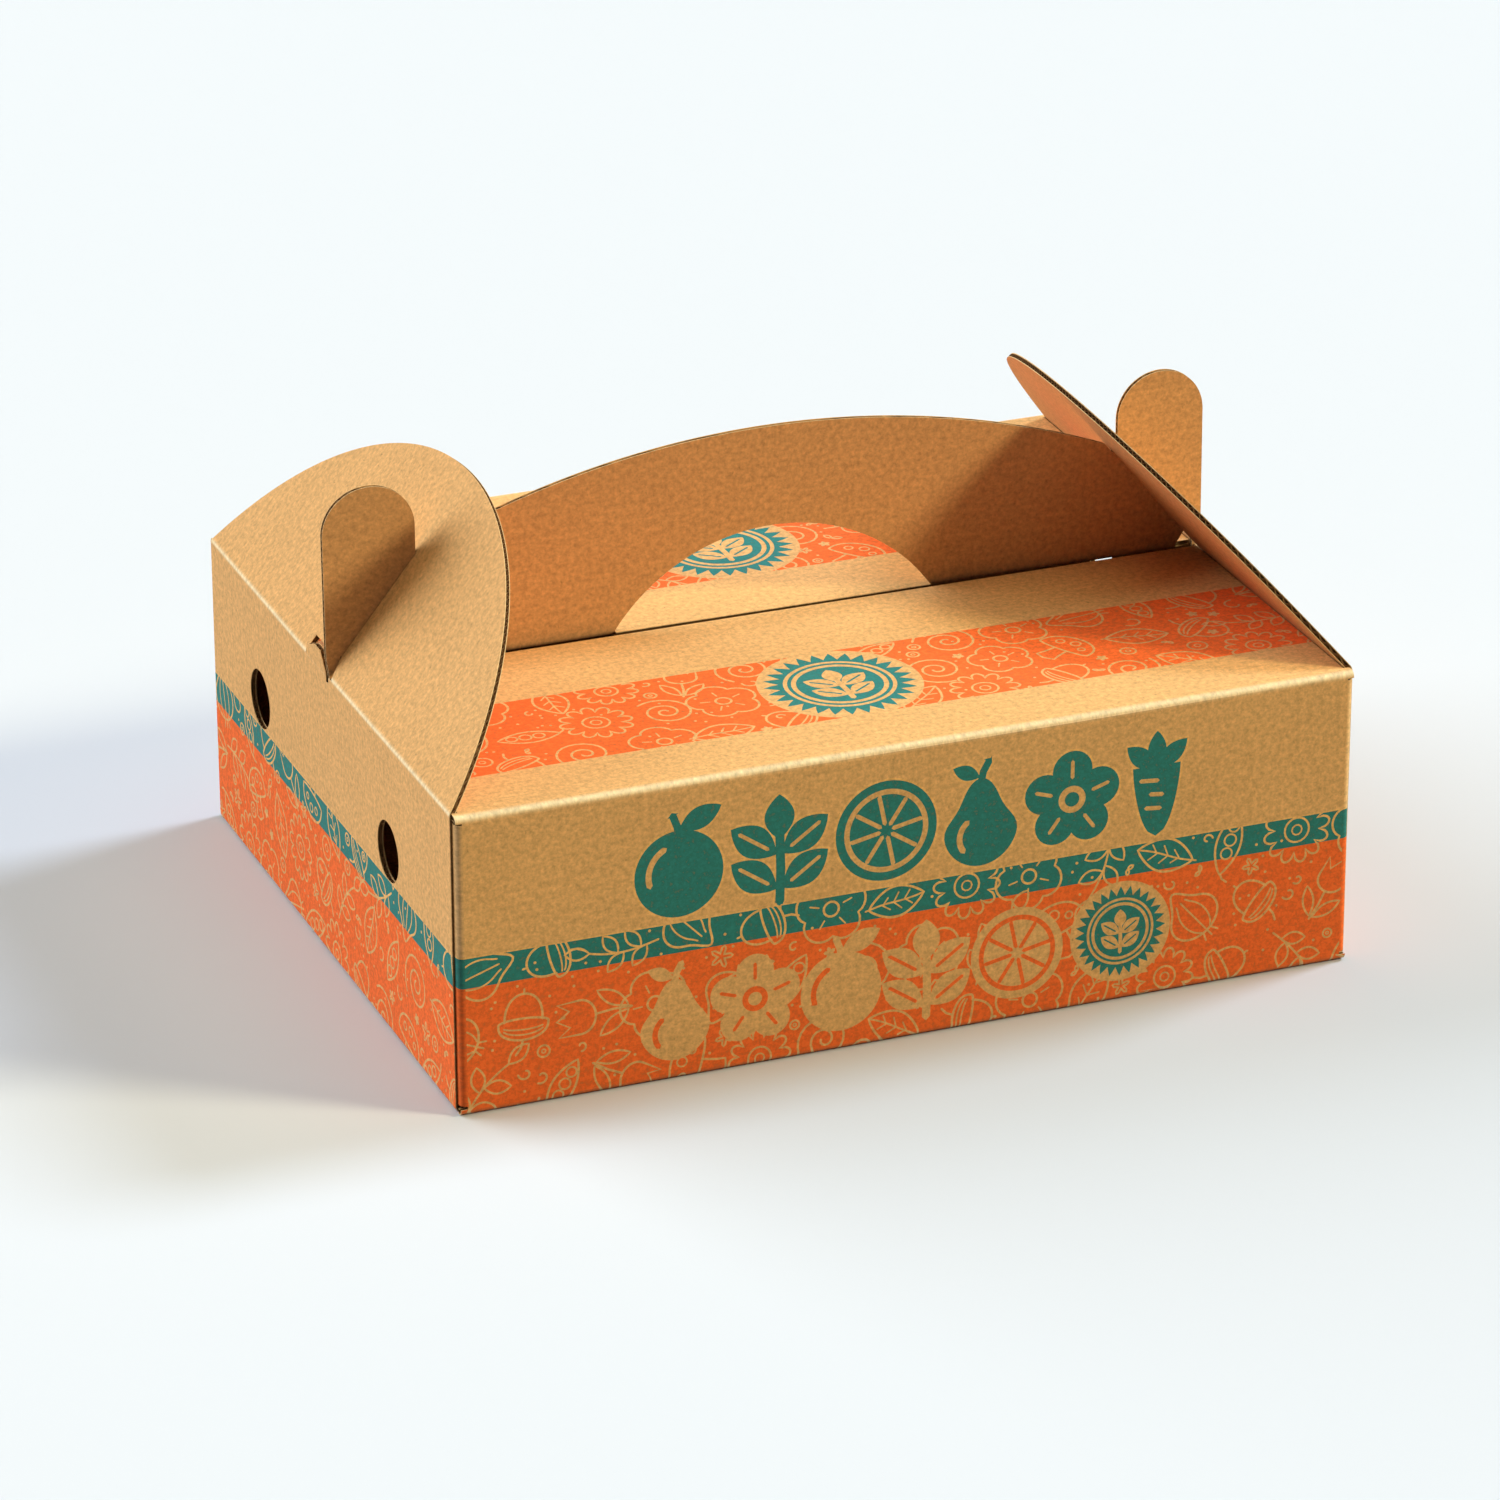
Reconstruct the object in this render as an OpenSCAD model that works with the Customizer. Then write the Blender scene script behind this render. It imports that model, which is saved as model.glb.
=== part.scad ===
// Carry carton folded from one die-cut sheet of corrugated board.
// The rear top panel turns up into the handle, and two half-round end flaps lock over its ends.
// Millimetres. X runs along the front, Y to the back and Z up, from the middle of the underside.

/* [Box] */
// Outside length along the front
box_l = 360; // [300:1:420]
// Outside depth from front to back
box_d = 290; // [240:1:340]
// Outside height up to the top panels
box_h = 120; // [95:1:180]

/* [Board] */
// Thickness of the board
board_t = 2.2; // [1.6:0.1:3]
// Inner radius of each fold
fold_in = 0.4; // [0.2:0.1:0.8]
// Gap left on each side of a panel that passes through a slit
slit_fit = 0.3; // [0.2:0.1:0.5]

/* [Walls] */
// How far the end walls stop short of the front and back faces
wall_setback = 3.6; // [3.2:0.1:6]
// How far the corner folds stand out past the tabs behind the end walls
corner_bulge = 1.2; // [0.6:0.1:1.6]
// Length of the glued tabs inside the corners
tab_l = 45; // [25:1:55]
// Gap above and below each glued tab
tab_gap = 1.2; // [0.8:0.1:3]
// Diameter of the air holes
vent_dia = 24; // [15:1:30]
// Distance between the two air holes of a wall
vent_pitch = 153; // [120:1:160]
// Height of the air holes above the ground
vent_z = 75.5; // [60:0.5:76]
// How far the pair of air holes sits behind the middle of its wall
vent_shift = 6; // [0:0.5:6]

/* [Top panels] */
// Gap between a top panel's end and the end wall
panel_gap = 1.2; // [0.8:0.1:2.5]
// Place of the handle from front to back
handle_y = -3.3; // [-12:0.1:6]
// Gap between the front top panel and the handle
top_gap = 4; // [3.6:0.1:12]

/* [Handle] */
// Height of the arch above the top panels
arch_rise = 74.5; // [66:0.1:95]
// Width of the hand hole
grip_w = 130; // [90:1:150]
// Height of the hand hole
grip_h = 34; // [28:1:38]
// How far the lip at the foot of the hand hole stands in front of the handle
grip_lip = 1.6; // [0.5:0.1:3]
// Height of the end tongues above the top panels
tongue_rise = 74; // [66:0.1:95]
// How far the tongues reach past the end walls
tongue_over = 0.4; // [0.2:0.1:2.5]
// How far a tongue's foot hooks down into the end wall
foot_drop = 3; // [1:0.1:6]
// Width of the small relief cut at a tongue's foot
relief_w = 7; // [4:0.5:12]
// Height of the relief cut
relief_h = 7.5; // [4:0.5:12]

/* [End flaps] */
// Angle of the flaps above the ground
flap_lean = 51; // [46:1:60]
// Height of a flap from its fold to its tip
flap_rise = 93.5; // [84:0.5:100]
// Gap between a flap's end and the end wall's edge
flap_setback = 0.2; // [0:0.1:2]
// Length of the slit from the fold
slit_l = 57.8; // [52:0.1:62]
// Width of the relief in front of the slit's foot
lip_w = 3.6; // [2:0.1:6]
// Height of the relief in front of the slit's foot
lip_h = 8; // [5:0.5:12]
// Length of the ear that stands behind the slit
ear_l = 22; // [14:0.5:30]
// Height of the ear above the fold
ear_h = 7; // [4:0.5:9]

/* [Hidden] */
$fn = 96;
fold_out = fold_in + board_t;
half_l = box_l / 2;
half_d = box_d / 2;
inner_x = half_l - board_t;
panel_x = inner_x - panel_gap;
wall_y = half_d - wall_setback;
corner_x = inner_x + corner_bulge;
// The handle's front face, and the inner edge of the front top panel
handle_front = handle_y - board_t / 2;
front_edge = handle_front - top_gap;
// A slit's width, and its two long edges
slit_w = board_t + 2 * slit_fit;
slit_front = handle_y - slit_w / 2;
slit_back = handle_y + slit_w / 2;
// The end wall's fold turns through this angle into the flap
flap_turn = 90 - flap_lean;
flap_half = wall_y - flap_setback;
flap_r = (flap_half * flap_half + flap_rise * flap_rise) / (2 * flap_rise);
// Where the slit's end sits in the handle, between the arch and a tongue
seat_r = slit_l - slit_fit;
tongue_in = half_l - seat_r * cos(flap_lean) + slit_fit * sin(flap_lean);
tongue_out = half_l + tongue_over;
tongue_r = (tongue_out - tongue_in) / 2;
arch_sag = arch_rise - seat_r * sin(flap_lean);
arch_r = (tongue_in * tongue_in + arch_sag * arch_sag) / (2 * arch_sag);
grip_r = (grip_w * grip_w / 4 + grip_h * grip_h) / (2 * grip_h);
foot_in = panel_x + slit_fit;
// The handle's fold ends here, short of the relief cut
fold_end = foot_in - relief_w;
notch_z = box_h - foot_drop - slit_fit;
// Folds are drawn about the middle of the board, in this many steps
mid_r = fold_in + board_t / 2;
fold_steps = 8;
// How far flat pieces overlap, and cutting shapes run past what they cut
lap = 2;

// A flat outline in Y and Z, drawn out along X from x0 to x1
module along_x(x0, x1)
    translate([x0, 0, 0]) rotate([90, 0, 90]) linear_extrude(x1 - x0) children();

// A flat outline in X and Z, drawn out along Y from y0 to y1
module along_y(y0, y1)
    translate([0, y1, 0]) rotate([90, 0, 0]) linear_extrude(y1 - y0) children();

module rectangle(x0, x1, y0, y1) translate([x0, y0]) square([x1 - x0, y1 - y0]);

module both_ends() {
    children();
    mirror([1, 0, 0]) children();
}

// The section of a folded strip: it starts at a point, runs along its legs and turns between them
function dir(a) = [cos(a), sin(a)];
function left(a) = [-sin(a), cos(a)];
function total(list, n) = n == 0 ? 0 : list[n - 1] + total(list, n - 1);
function corner(start, heading, legs, turns, n) = n == 0 ? start :
    corner(start, heading, legs, turns, n - 1)
        + legs[n - 1] * dir(heading + total(turns, n - 1));
function fold_point(at, heading, turn, part, off) =
    let (way = sign(turn), run = mid_r * tan(abs(turn) / 2), a = heading + turn * part)
    at - run * dir(heading) + way * mid_r * (left(heading) - left(a)) + off * left(a);
function strip_side(start, heading, legs, turns, off) = let (n = len(turns)) [
    start + off * left(heading),
    for (i = [0:n - 1], k = [0:fold_steps])
        fold_point(corner(start, heading, legs, turns, i + 1), heading + total(turns, i),
            turns[i], k / fold_steps, off),
    corner(start, heading, legs, turns, n + 1) + off * left(heading + total(turns, n))];
function reverse(list) = [for (i = [len(list) - 1:-1:0]) list[i]];

module strip_section(start, heading, legs, turns) polygon(concat(
    strip_side(start, heading, legs, turns, board_t / 2),
    reverse(strip_side(start, heading, legs, turns, -board_t / 2))));

// Front wall, base and back wall, with the start of each top panel
module long_strip() {
    stub = fold_out + lap;
    deep = box_d - board_t;
    high = box_h - board_t;
    difference() {
        along_x(-corner_x, corner_x)
            strip_section([stub - half_d, box_h - board_t / 2], 180,
                [stub - board_t / 2, high, deep, high, stub - board_t / 2], [90, 90, 90, 90]);
        // The walls end where the corner folds start
        both_ends() translate([corner_x - fold_out, -half_d - lap, fold_out])
            cube([box_l, box_d + 2 * lap, box_h - 2 * fold_out]);
    }
}

// One long wall's corner folds and the glued tabs beyond them, drawn at the back
module corner_tabs() {
    low = fold_out + tab_gap;
    high = box_h - board_t - tab_gap;
    fold_y = half_d - fold_out;
    wide = 2 * corner_x - board_t;
    translate([0, 0, low]) linear_extrude(high - low) {
        strip_section([board_t / 2 - corner_x, fold_y - corner_bulge], 90,
            [fold_out + corner_bulge - board_t / 2, wide, fold_out + corner_bulge - board_t / 2],
            [-90, -90]);
        // The tabs step in behind the end walls
        both_ends() polygon([[corner_x, fold_y], [inner_x, fold_y - corner_bulge],
            [inner_x, half_d - tab_l], [inner_x - board_t, half_d - tab_l],
            [inner_x - board_t, fold_y - corner_bulge], [corner_x - board_t, fold_y]]);
    }
}

module front_top_panel() {
    along_x(-panel_x, panel_x)
        rectangle(fold_out - half_d, front_edge, box_h - board_t, box_h);
}

module rear_top_panel() {
    low = box_h - board_t;
    along_x(-panel_x, panel_x)
        rectangle(handle_front + fold_out, half_d - fold_out, low, box_h);
    // The uncreased lip at the foot of the hand hole
    along_x(-grip_w / 2, grip_w / 2)
        rectangle(handle_front - grip_lip, handle_front + fold_out + lap, low, box_h);
}

// The handle's outlines are in X and in height above the top panels
module arch_outline() {
    intersection() {
        translate([0, arch_rise - arch_r]) circle(arch_r, $fn = 180);
        rectangle(-tongue_in, tongue_in, 0, arch_rise + lap);
    }
    rectangle(-fold_end, fold_end, -2 * board_t, lap);
}

module tongue_outline() {
    // Below the slit's end it overlaps the arch, and above it the tongue stands free
    rectangle(tongue_in - lap, tongue_out, 0, arch_rise - arch_sag);
    rectangle(tongue_in, tongue_out, 0, tongue_rise - tongue_r);
    translate([tongue_in + tongue_r, tongue_rise - tongue_r]) circle(tongue_r);
    // The foot that hooks into the end wall
    polygon([[foot_in, relief_h], [foot_in, -foot_drop], [half_l - lap / 2, -foot_drop],
        [tongue_out, relief_h]]);
}

module handle_cuts() {
    intersection() {
        translate([0, grip_h - grip_r]) circle(grip_r);
        rectangle(-grip_w, grip_w, 0, grip_h + lap);
    }
    rectangle(-grip_w / 2, grip_w / 2, -3 * board_t, 0);
    both_ends() {
        // Room for the flap above its slit
        translate([half_l, 0]) rotate(180 - flap_lean)
            translate([seat_r, -slit_fit]) square([flap_rise, slit_w]);
        polygon([[fold_end, -foot_drop - lap], [foot_in, -foot_drop - lap], [foot_in, 0],
            [foot_in - relief_w / 3, relief_h], [fold_end, fold_in]]);
    }
}

// The handle turns up from a stub that laps the rear top panel
module handle_panel() intersection() {
    along_x(-tongue_out, tongue_out)
        strip_section([handle_front + fold_out + lap, box_h - board_t / 2], 180,
            [fold_out + lap - board_t / 2, arch_rise + tongue_rise], [-90]);
    translate([0, 0, box_h]) along_y(handle_front - lap, handle_front + fold_out + 2 * lap)
        difference() {
            union() {
                arch_outline();
                both_ends() tongue_outline();
            }
            handle_cuts();
        }
}

// The board that the die cuts away around a flap, in distance from its fold and in Y
module flap_waste() {
    difference() {
        rectangle(0, flap_rise + 3 * lap, -half_d, half_d);
        translate([flap_rise - flap_r, 0]) circle(flap_r, $fn = 180);
    }
    rectangle(-lap, slit_l, slit_front, slit_back);
    polygon([[lip_h, slit_front + slit_fit], [lip_h, slit_front],
        [0, slit_front - lip_w], [0, slit_front + slit_fit]]);
    rectangle(0, ear_h + slit_fit, handle_y, ear_l + slit_fit);
}

// Each flap's outer face is the plane z = 0 of its waste
module at_flap() both_ends()
    translate([half_l, 0, box_h]) rotate([0, 180 + flap_lean, 0])
        translate([0, 0, -lap]) linear_extrude(board_t + 2 * lap) children();

// The ear's outline in Y and Z
module ear_outline() polygon([[slit_back, notch_z - lap], [ear_l, notch_z - lap],
    [ear_l, box_h - board_t / 2], [ear_l * 0.92, box_h + ear_h / 2], [ear_l / 2, box_h + ear_h],
    [ear_l / 5, box_h + ear_h], [slit_back, box_h]]);

// Base, end walls and end flaps
module cross_strip() difference() {
    union() {
        difference() {
            tip = flap_rise + lap;
            wide = box_l - board_t;
            crease_z = box_h - board_t / 2 * tan(flap_turn / 2);
            high = crease_z - board_t / 2;
            along_y(-wall_y, wall_y)
                strip_section([wide / 2 - tip * cos(flap_lean), crease_z + tip * sin(flap_lean)],
                    -flap_lean, [tip, high, wide, high, tip],
                    [-flap_turn, -90, -90, -flap_turn]);
            at_flap() flap_waste();
        }
        both_ends() along_x(inner_x, half_l) ear_outline();
    }
    // The notch for a tongue's foot, and the air holes
    along_x(-box_l, box_l) {
        rectangle(slit_front, slit_back, notch_z, box_h + lap);
        for (side = [-1, 1])
            translate([vent_shift + side * vent_pitch / 2, vent_z]) circle(vent_dia / 2);
    }
}

module carton() color([0.84, 0.68, 0.45]) {
    long_strip();
    corner_tabs();
    mirror([0, 1, 0]) corner_tabs();
    cross_strip();
    front_top_panel();
    rear_top_panel();
    handle_panel();
}

carton();
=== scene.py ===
# Carry carton of fine corrugated board, folded from one die-cut and printed sheet.
# The board is modelled as it is made: a printed outer liner, a brown inner liner and the
# fluted medium between them. Each is cut from flat outlines and carried round the folds.
# Lengths in the tables are millimetres; X runs along the front, Y to the back and Z up.
import math

import bpy
import numpy as np
from mathutils import Matrix, Vector
from mathutils.geometry import delaunay_2d_cdt


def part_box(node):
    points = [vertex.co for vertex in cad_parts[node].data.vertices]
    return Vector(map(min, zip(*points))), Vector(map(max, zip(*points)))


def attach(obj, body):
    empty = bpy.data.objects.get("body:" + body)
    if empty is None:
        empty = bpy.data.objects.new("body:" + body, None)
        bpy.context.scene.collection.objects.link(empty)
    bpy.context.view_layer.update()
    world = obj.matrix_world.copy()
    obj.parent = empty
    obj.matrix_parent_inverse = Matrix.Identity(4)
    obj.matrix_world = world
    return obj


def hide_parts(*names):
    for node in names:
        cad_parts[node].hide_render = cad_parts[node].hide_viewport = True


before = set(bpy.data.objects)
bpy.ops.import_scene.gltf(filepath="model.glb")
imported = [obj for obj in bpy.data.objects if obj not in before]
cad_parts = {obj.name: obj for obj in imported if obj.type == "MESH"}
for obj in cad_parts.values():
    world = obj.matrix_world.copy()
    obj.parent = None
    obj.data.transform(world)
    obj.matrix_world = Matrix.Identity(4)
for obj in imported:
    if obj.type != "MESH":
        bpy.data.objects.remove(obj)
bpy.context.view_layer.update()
lowCorner, highCorner = (np.array(corner) * 1000 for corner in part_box("carton"))

board = {
    "thickness": 2.2,
    "liner": 0.3,       # thickness of each flat liner
    "medium": 0.2,      # thickness of the fluted paper
    "pitch": 2.7,       # from one flute to the next
    "play": 0.1,        # between a flute's crest and the liner
    "foldInner": 0.4,   # inner radius of a fold
    "foldSteps": 8,
    "waveSteps": 8,
    "spacing": 16.0,    # points that let a panel bend slightly
}
walls = {
    "setback": 3.6,     # end walls stop short of the front and back faces
    "bulge": 1.2,       # corner folds stand out past the tabs
    "tabLength": 45.0,
    "tabGap": 1.2,
    "tabStep": {"before": 3.0, "length": 3.5, "angle": 20.0},  # the tab steps inward
    "ventDiameter": 24.0,
    "ventPitch": 153.0,
    "ventHeight": 75.5,
    "ventShift": 6.0,
}
handle = {
    "y": -3.3,
    "topGap": 4.0,
    "rise": 74.5,
    "gripWidth": 130.0,
    "gripHeight": 34.0,
    "gripLip": 1.6,
    "tongueRise": 74.0,
    "tongueOver": 0.4,
    "footDrop": 3.0,
    "reliefWidth": 7.0,
    "reliefHeight": 7.5,
    "slitFit": 0.3,
    "panelGap": 1.2,
}
flaps = {
    "lean": 51.0,
    "rise": 93.5,
    "setback": 0.2,
    "slitLength": 57.8,
    "lipWidth": 3.6,
    "lipHeight": 8.0,
    "earLength": 22.0,
    "earHeight": 7.0,
}

# Sizes that follow from the frame and the tables
thick = board["thickness"]
midRadius = board["foldInner"] + thick / 2
foldOuter = board["foldInner"] + thick
halfLength = highCorner[0] - handle["tongueOver"]
halfDepth = highCorner[1]
topHeight = highCorner[2] - handle["rise"]
innerX = halfLength - thick
panelX = innerX - handle["panelGap"]
wallY = halfDepth - walls["setback"]
cornerX = innerX + walls["bulge"]
handleFront = handle["y"] - thick / 2
slitFront = handle["y"] - thick / 2 - handle["slitFit"]
slitBack = handle["y"] + thick / 2 + handle["slitFit"]
print("carton", np.round(lowCorner, 2), np.round(highCorner, 2))


# Curves, each an array of points in millimetres

def circle(centre, radius, count=48):
    # equal steps of angle round the centre; the last point repeats the first
    angle = np.linspace(0, 2 * np.pi, count + 1)
    return np.stack([centre[0] + radius * np.cos(angle), centre[1] + radius * np.sin(angle)], 1)


def arc(centre, radius, start, end, count=24):
    # angles in degrees from start to end
    angle = np.radians(np.linspace(start, end, count + 1))
    return np.stack([centre[0] + radius * np.cos(angle), centre[1] + radius * np.sin(angle)], 1)


def closed(points):
    return np.concatenate([points, points[:1]])


def moved(points, at, turn=0.0, scale=1.0):
    # scaled, turned by an angle in radians, then shifted
    c, s = math.cos(turn), math.sin(turn)
    return scale * np.asarray(points) @ np.array([[c, s], [-s, c]]) + np.asarray(at)


def mirroredX(lines):
    return lines + [line * (-1, 1) for line in lines]


# Folded strips

def direction(angle):
    return np.stack([np.cos(angle), np.sin(angle)], -1)


def leftOf(angle):
    return np.stack([-np.sin(angle), np.cos(angle)], -1)


def foldedPath(start, heading, legs, turns):
    # the board's mid-line as stretches, straight and round by turns; each row holds the
    # length so far, the point there, the heading and the bend, one over the radius
    at, way, length, before, rows = np.array(start, float), math.radians(heading), 0.0, 0.0, []
    for leg, turn in zip(legs, list(turns) + [0]):
        run = midRadius * math.tan(abs(math.radians(turn)) / 2)
        rows.append((length, *at, way, 0.0))
        at = at + (leg - before - run) * direction(way)
        length += leg - before - run
        if turn:
            bend = math.copysign(1 / midRadius, turn)
            rows.append((length, *at, way, bend))
            after = way + math.radians(turn)
            at = at + (leftOf(way) - leftOf(after)) / bend
            length += abs(math.radians(turn)) * midRadius
            way = after
        before = run
    return np.array(rows)


def alongPath(path, s, off):
    # point at length s, shifted by off to the left; on a round stretch with bend k the
    # mid-line is start + (left(heading) - left(heading + k ds)) / k
    row = path[np.clip(np.searchsorted(path[:, 0], s, side="right") - 1, 0, len(path) - 1)]
    ds, bend = s - row[:, 0], row[:, 4]
    angle = row[:, 3] + bend * ds
    straight = row[:, 1:3] + ds[:, None] * direction(row[:, 3])
    curved = row[:, 1:3] + (leftOf(row[:, 3]) - leftOf(angle)) / np.where(bend == 0, 1, bend)[:, None]
    return np.where((bend == 0)[:, None], straight, curved) + np.reshape(off, (-1, 1)) * leftOf(angle)


def foldRows(path, steps=board["foldSteps"], margin=0.7):
    # lengths at which a fold is stepped, with a row close before and after it
    lengths = []
    for start, end in zip(path[:-1], path[1:, 0]):
        if start[4]:
            lengths += [start[0] - margin, *np.linspace(start[0], end, steps + 1), end + margin]
    return lengths


def foldShare(path, s):
    # 1 along the middle of a fold, fading to 0 a little past it as exp(-(distance / reach)^2)
    share = np.zeros(len(s))
    for start, end in zip(path[:-1], path[1:, 0]):
        if start[4]:
            reach = 0.30 * (end - start[0]) + 0.15
            share += np.exp(-(((s - (start[0] + end) / 2) / reach) ** 2))
    return share


bow = {
    "size": 0.22,       # how far a panel bows at the height of the top panels
    "growth": 1.6,      # the height at which the bow stops growing, in box heights
    "endReach": 60.0,   # the part of the length next to each end that bows along X
}


def settled(points):
    # slow waves that grow from the ground up, the faint unevenness of folded board
    x, y, z = points.T
    rise = np.clip(z / topHeight, 0, bow["growth"]) ** 2 * bow["size"]
    nearEnd = np.clip((np.abs(x) - innerX + bow["endReach"]) / bow["endReach"], 0, 1)
    push = np.stack([
        np.sin(y / 47 + 1.1) * np.cos(z / 61 + 0.4) * nearEnd,
        np.sin(x / 71 + 0.6) * np.cos(z / 43),
        -0.6 + 0.6 * np.cos(x / 58 + 0.9) * np.cos(y / 66 + 0.3),
    ], 1) * rise[:, None]
    return points + push


def stripPlace(path, widthAxis, mirrorX=False, mirrorY=False):
    # carries strip points (length, width) and an offset into space
    axes = {"x": lambda p, w: (w, p[:, 0], p[:, 1]),
            "y": lambda p, w: (p[:, 0], w, p[:, 1]),
            "z": lambda p, w: (p[:, 0], p[:, 1], w)}[widthAxis]

    def place(s, w, off):
        x, y, z = axes(alongPath(path, s, off), w)
        return settled(np.stack([-x if mirrorX else x, -y if mirrorY else y, z], 1))
    return place


# Sheets cut from the flat

def cutSheet(lines, keep, spots=None):
    # Delaunay triangles over every line's points, with the lines as edges; keep says
    # which triangles are board
    sizes = [len(line) for line in lines]
    starts = np.cumsum([0] + sizes[:-1])
    points = np.concatenate(lines + ([] if spots is None else [spots]))
    edges = np.concatenate([np.stack([np.arange(a, a + n - 1), np.arange(a + 1, a + n)], 1)
                            for a, n in zip(starts, sizes)])
    found = delaunay_2d_cdt([Vector(p) for p in points.tolist()], edges.tolist(), [], 0, 1e-4, False)
    flat = np.array([v[:] for v in found[0]])
    tri = np.array(found[2])
    tri = tri[keep(*flat[tri].mean(1).T)]
    used, tri = np.unique(tri, return_inverse=True)
    return flat[used], tri.reshape(-1, 3)


def shell(sheet, place, near, far, uvOf, fold=None, ink=None):
    # a closed shell: the sheet at offset near, the same sheet at offset far turned over,
    # and a rim along every edge that only one triangle uses
    flat, tri = sheet
    s, w = flat.T
    front, back = place(s, w, near(s, w)), place(s, w, far(s, w))
    a, b, c = front[tri].transpose(1, 0, 2)
    facing = np.einsum("ij,ij->i", np.cross(b - a, c - a), (front - back)[tri].mean(1))
    turned = np.where(facing[:, None] < 0, tri[:, ::-1], tri)
    n = len(flat)
    edges = np.concatenate([turned[:, [0, 1]], turned[:, [1, 2]], turned[:, [2, 0]]])
    _, first, count = np.unique(edges.min(1) * n + edges.max(1), return_index=True, return_counts=True)
    rim = edges[first[count == 1]]
    faces = np.concatenate([turned, turned[:, ::-1] + n,
                            np.stack([rim[:, 1], rim[:, 0], rim[:, 0] + n], 1),
                            np.stack([rim[:, 1], rim[:, 0] + n, rim[:, 1] + n], 1)])
    paint = np.zeros((len(faces), 3))
    if ink is not None:
        paint[:len(tri)] = ink(*flat[tri].mean(1).T)
    cut = np.zeros(len(faces))
    cut[2 * len(tri):] = 1
    crease = np.zeros(n) if fold is None else fold(s)
    return {"points": np.concatenate([front, back]), "faces": faces, "paint": paint, "cut": cut,
            "uv": np.tile(uvOf(s, w), (2, 1)), "fold": np.tile(crease, 2)}


def makePiece(name, shells, material):
    # joins shells into one mesh in metres, with its board map, its ink and its fold mask for the painted
    # fold highlight
    start = np.cumsum([0] + [len(part["points"]) for part in shells[:-1]])
    points = np.concatenate([part["points"] for part in shells]) / 1000
    faces = np.concatenate([part["faces"] + a for part, a in zip(shells, start)])
    joined = {key: np.concatenate([part[key] for part in shells])
              for key in ("paint", "cut", "uv", "fold")}
    mesh = bpy.data.meshes.new(name)
    mesh.from_pydata(points.tolist(), [], faces.tolist())
    corners = faces.ravel()
    mesh.uv_layers.new(name="boardMap").uv.foreach_set("vector", (joined["uv"][corners] / 1000).ravel())
    ink = np.ones((len(faces), 3, 4))
    ink[:, :, :3] = joined["paint"][:, None, :]
    mesh.attributes.new("ink", "FLOAT_COLOR", "CORNER").data.foreach_set("color", ink.ravel())
    cutEdge = np.repeat(joined["cut"], 3)
    mesh.attributes.new("cutEdge", "FLOAT", "CORNER").data.foreach_set("value", cutEdge)
    mesh.attributes.new("foldLine", "FLOAT", "POINT").data.foreach_set("value", joined["fold"])
    mesh.shade_smooth()
    mesh.set_sharp_from_angle(angle=math.radians(50))
    mesh.materials.append(material)
    piece = bpy.data.objects.new(name, mesh)
    bpy.context.scene.collection.objects.link(piece)
    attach(piece, "root")
    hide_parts("carton")
    print("piece", name, len(faces), "triangles")


def gridSpots(s0, s1, w0, w1, step):
    s, w = np.meshgrid(np.arange(s0 + step / 2, s1, step), np.arange(w0 + step / 2, w1, step))
    return np.stack([s.ravel(), w.ravel()], 1)


# The printed marks. Each is a closed area or a line with a half width, and an ink:
# 0 bare kraft, 1 orange, 2 teal, 3 the light edge round the teal. Later marks lie on top.

inkWeights = np.array([(0, 0, 0), (1, 0, 0), (0, 1, 0), (0, 0, 1)], float)


def areaMark(points, ink):
    return {"points": closed(np.asarray(points, float)), "half": 0.0, "ink": ink}


def lineMark(points, half, ink=0):
    return {"points": np.asarray(points, float), "half": half, "ink": ink}


def lineSides(points, half):
    # the two sides of a line, at its half width along the mean normals
    ring = np.allclose(points[0], points[-1])
    step = np.diff(points, axis=0)
    step = step / np.maximum(np.linalg.norm(step, axis=1), 1e-9)[:, None]
    if ring:
        before, after = np.concatenate([step[-1:], step]), np.concatenate([step, step[:1]])
    else:
        before, after = np.concatenate([step[:1], step]), np.concatenate([step, step[-1:]])
    along = before + after
    along = along / np.maximum(np.linalg.norm(along, axis=1), 1e-9)[:, None]
    side = np.stack([-along[:, 1], along[:, 0]], 1) * half
    if ring:
        return [points + side, points - side]
    cap = half * np.array([along[0], along[-1]])
    return [np.concatenate([points + side, (points[-1] + cap[1])[None], (points - side)[::-1],
                            (points[0] - cap[0])[None], (points + side)[:1]])]


def markLines(marks):
    lines = []
    for mark in marks:
        lines += lineSides(mark["points"], mark["half"]) if mark["half"] else [mark["points"]]
    return lines


def inMark(mark, p):
    # inside an area by the even-odd rule, or nearer to a line than its half width
    a, b = mark["points"][:-1], mark["points"][1:]
    if mark["half"]:
        d = b - a
        t = np.einsum("nij,ij->ni", p[:, None] - a, d) / np.maximum((d ** 2).sum(1), 1e-9)
        gap = p[:, None] - a - np.clip(t, 0, 1)[:, :, None] * d
        return (gap ** 2).sum(2).min(1) < mark["half"] ** 2
    above = (a[:, 1] > p[:, 1:2]) != (b[:, 1] > p[:, 1:2])
    rise = np.where(b[:, 1] == a[:, 1], 1, b[:, 1] - a[:, 1])
    x = a[:, 0] + (p[:, 1:2] - a[:, 1]) / rise * (b[:, 0] - a[:, 0])
    return (above & (p[:, :1] < x)).sum(1) % 2 == 1


def inkOf(marks, p, ink):
    # ink is the ground's number at each point; each mark in turn overwrites it
    for mark in marks:
        low = mark["points"].min(0) - mark["half"]
        high = mark["points"].max(0) + mark["half"]
        near = np.flatnonzero(((p >= low) & (p <= high)).all(1))
        if len(near):
            near = near[inMark(mark, p[near])]
            ink[near] = mark["ink"]
    return ink


# Line drawings for the ground pattern, each about one unit in radius

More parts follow.
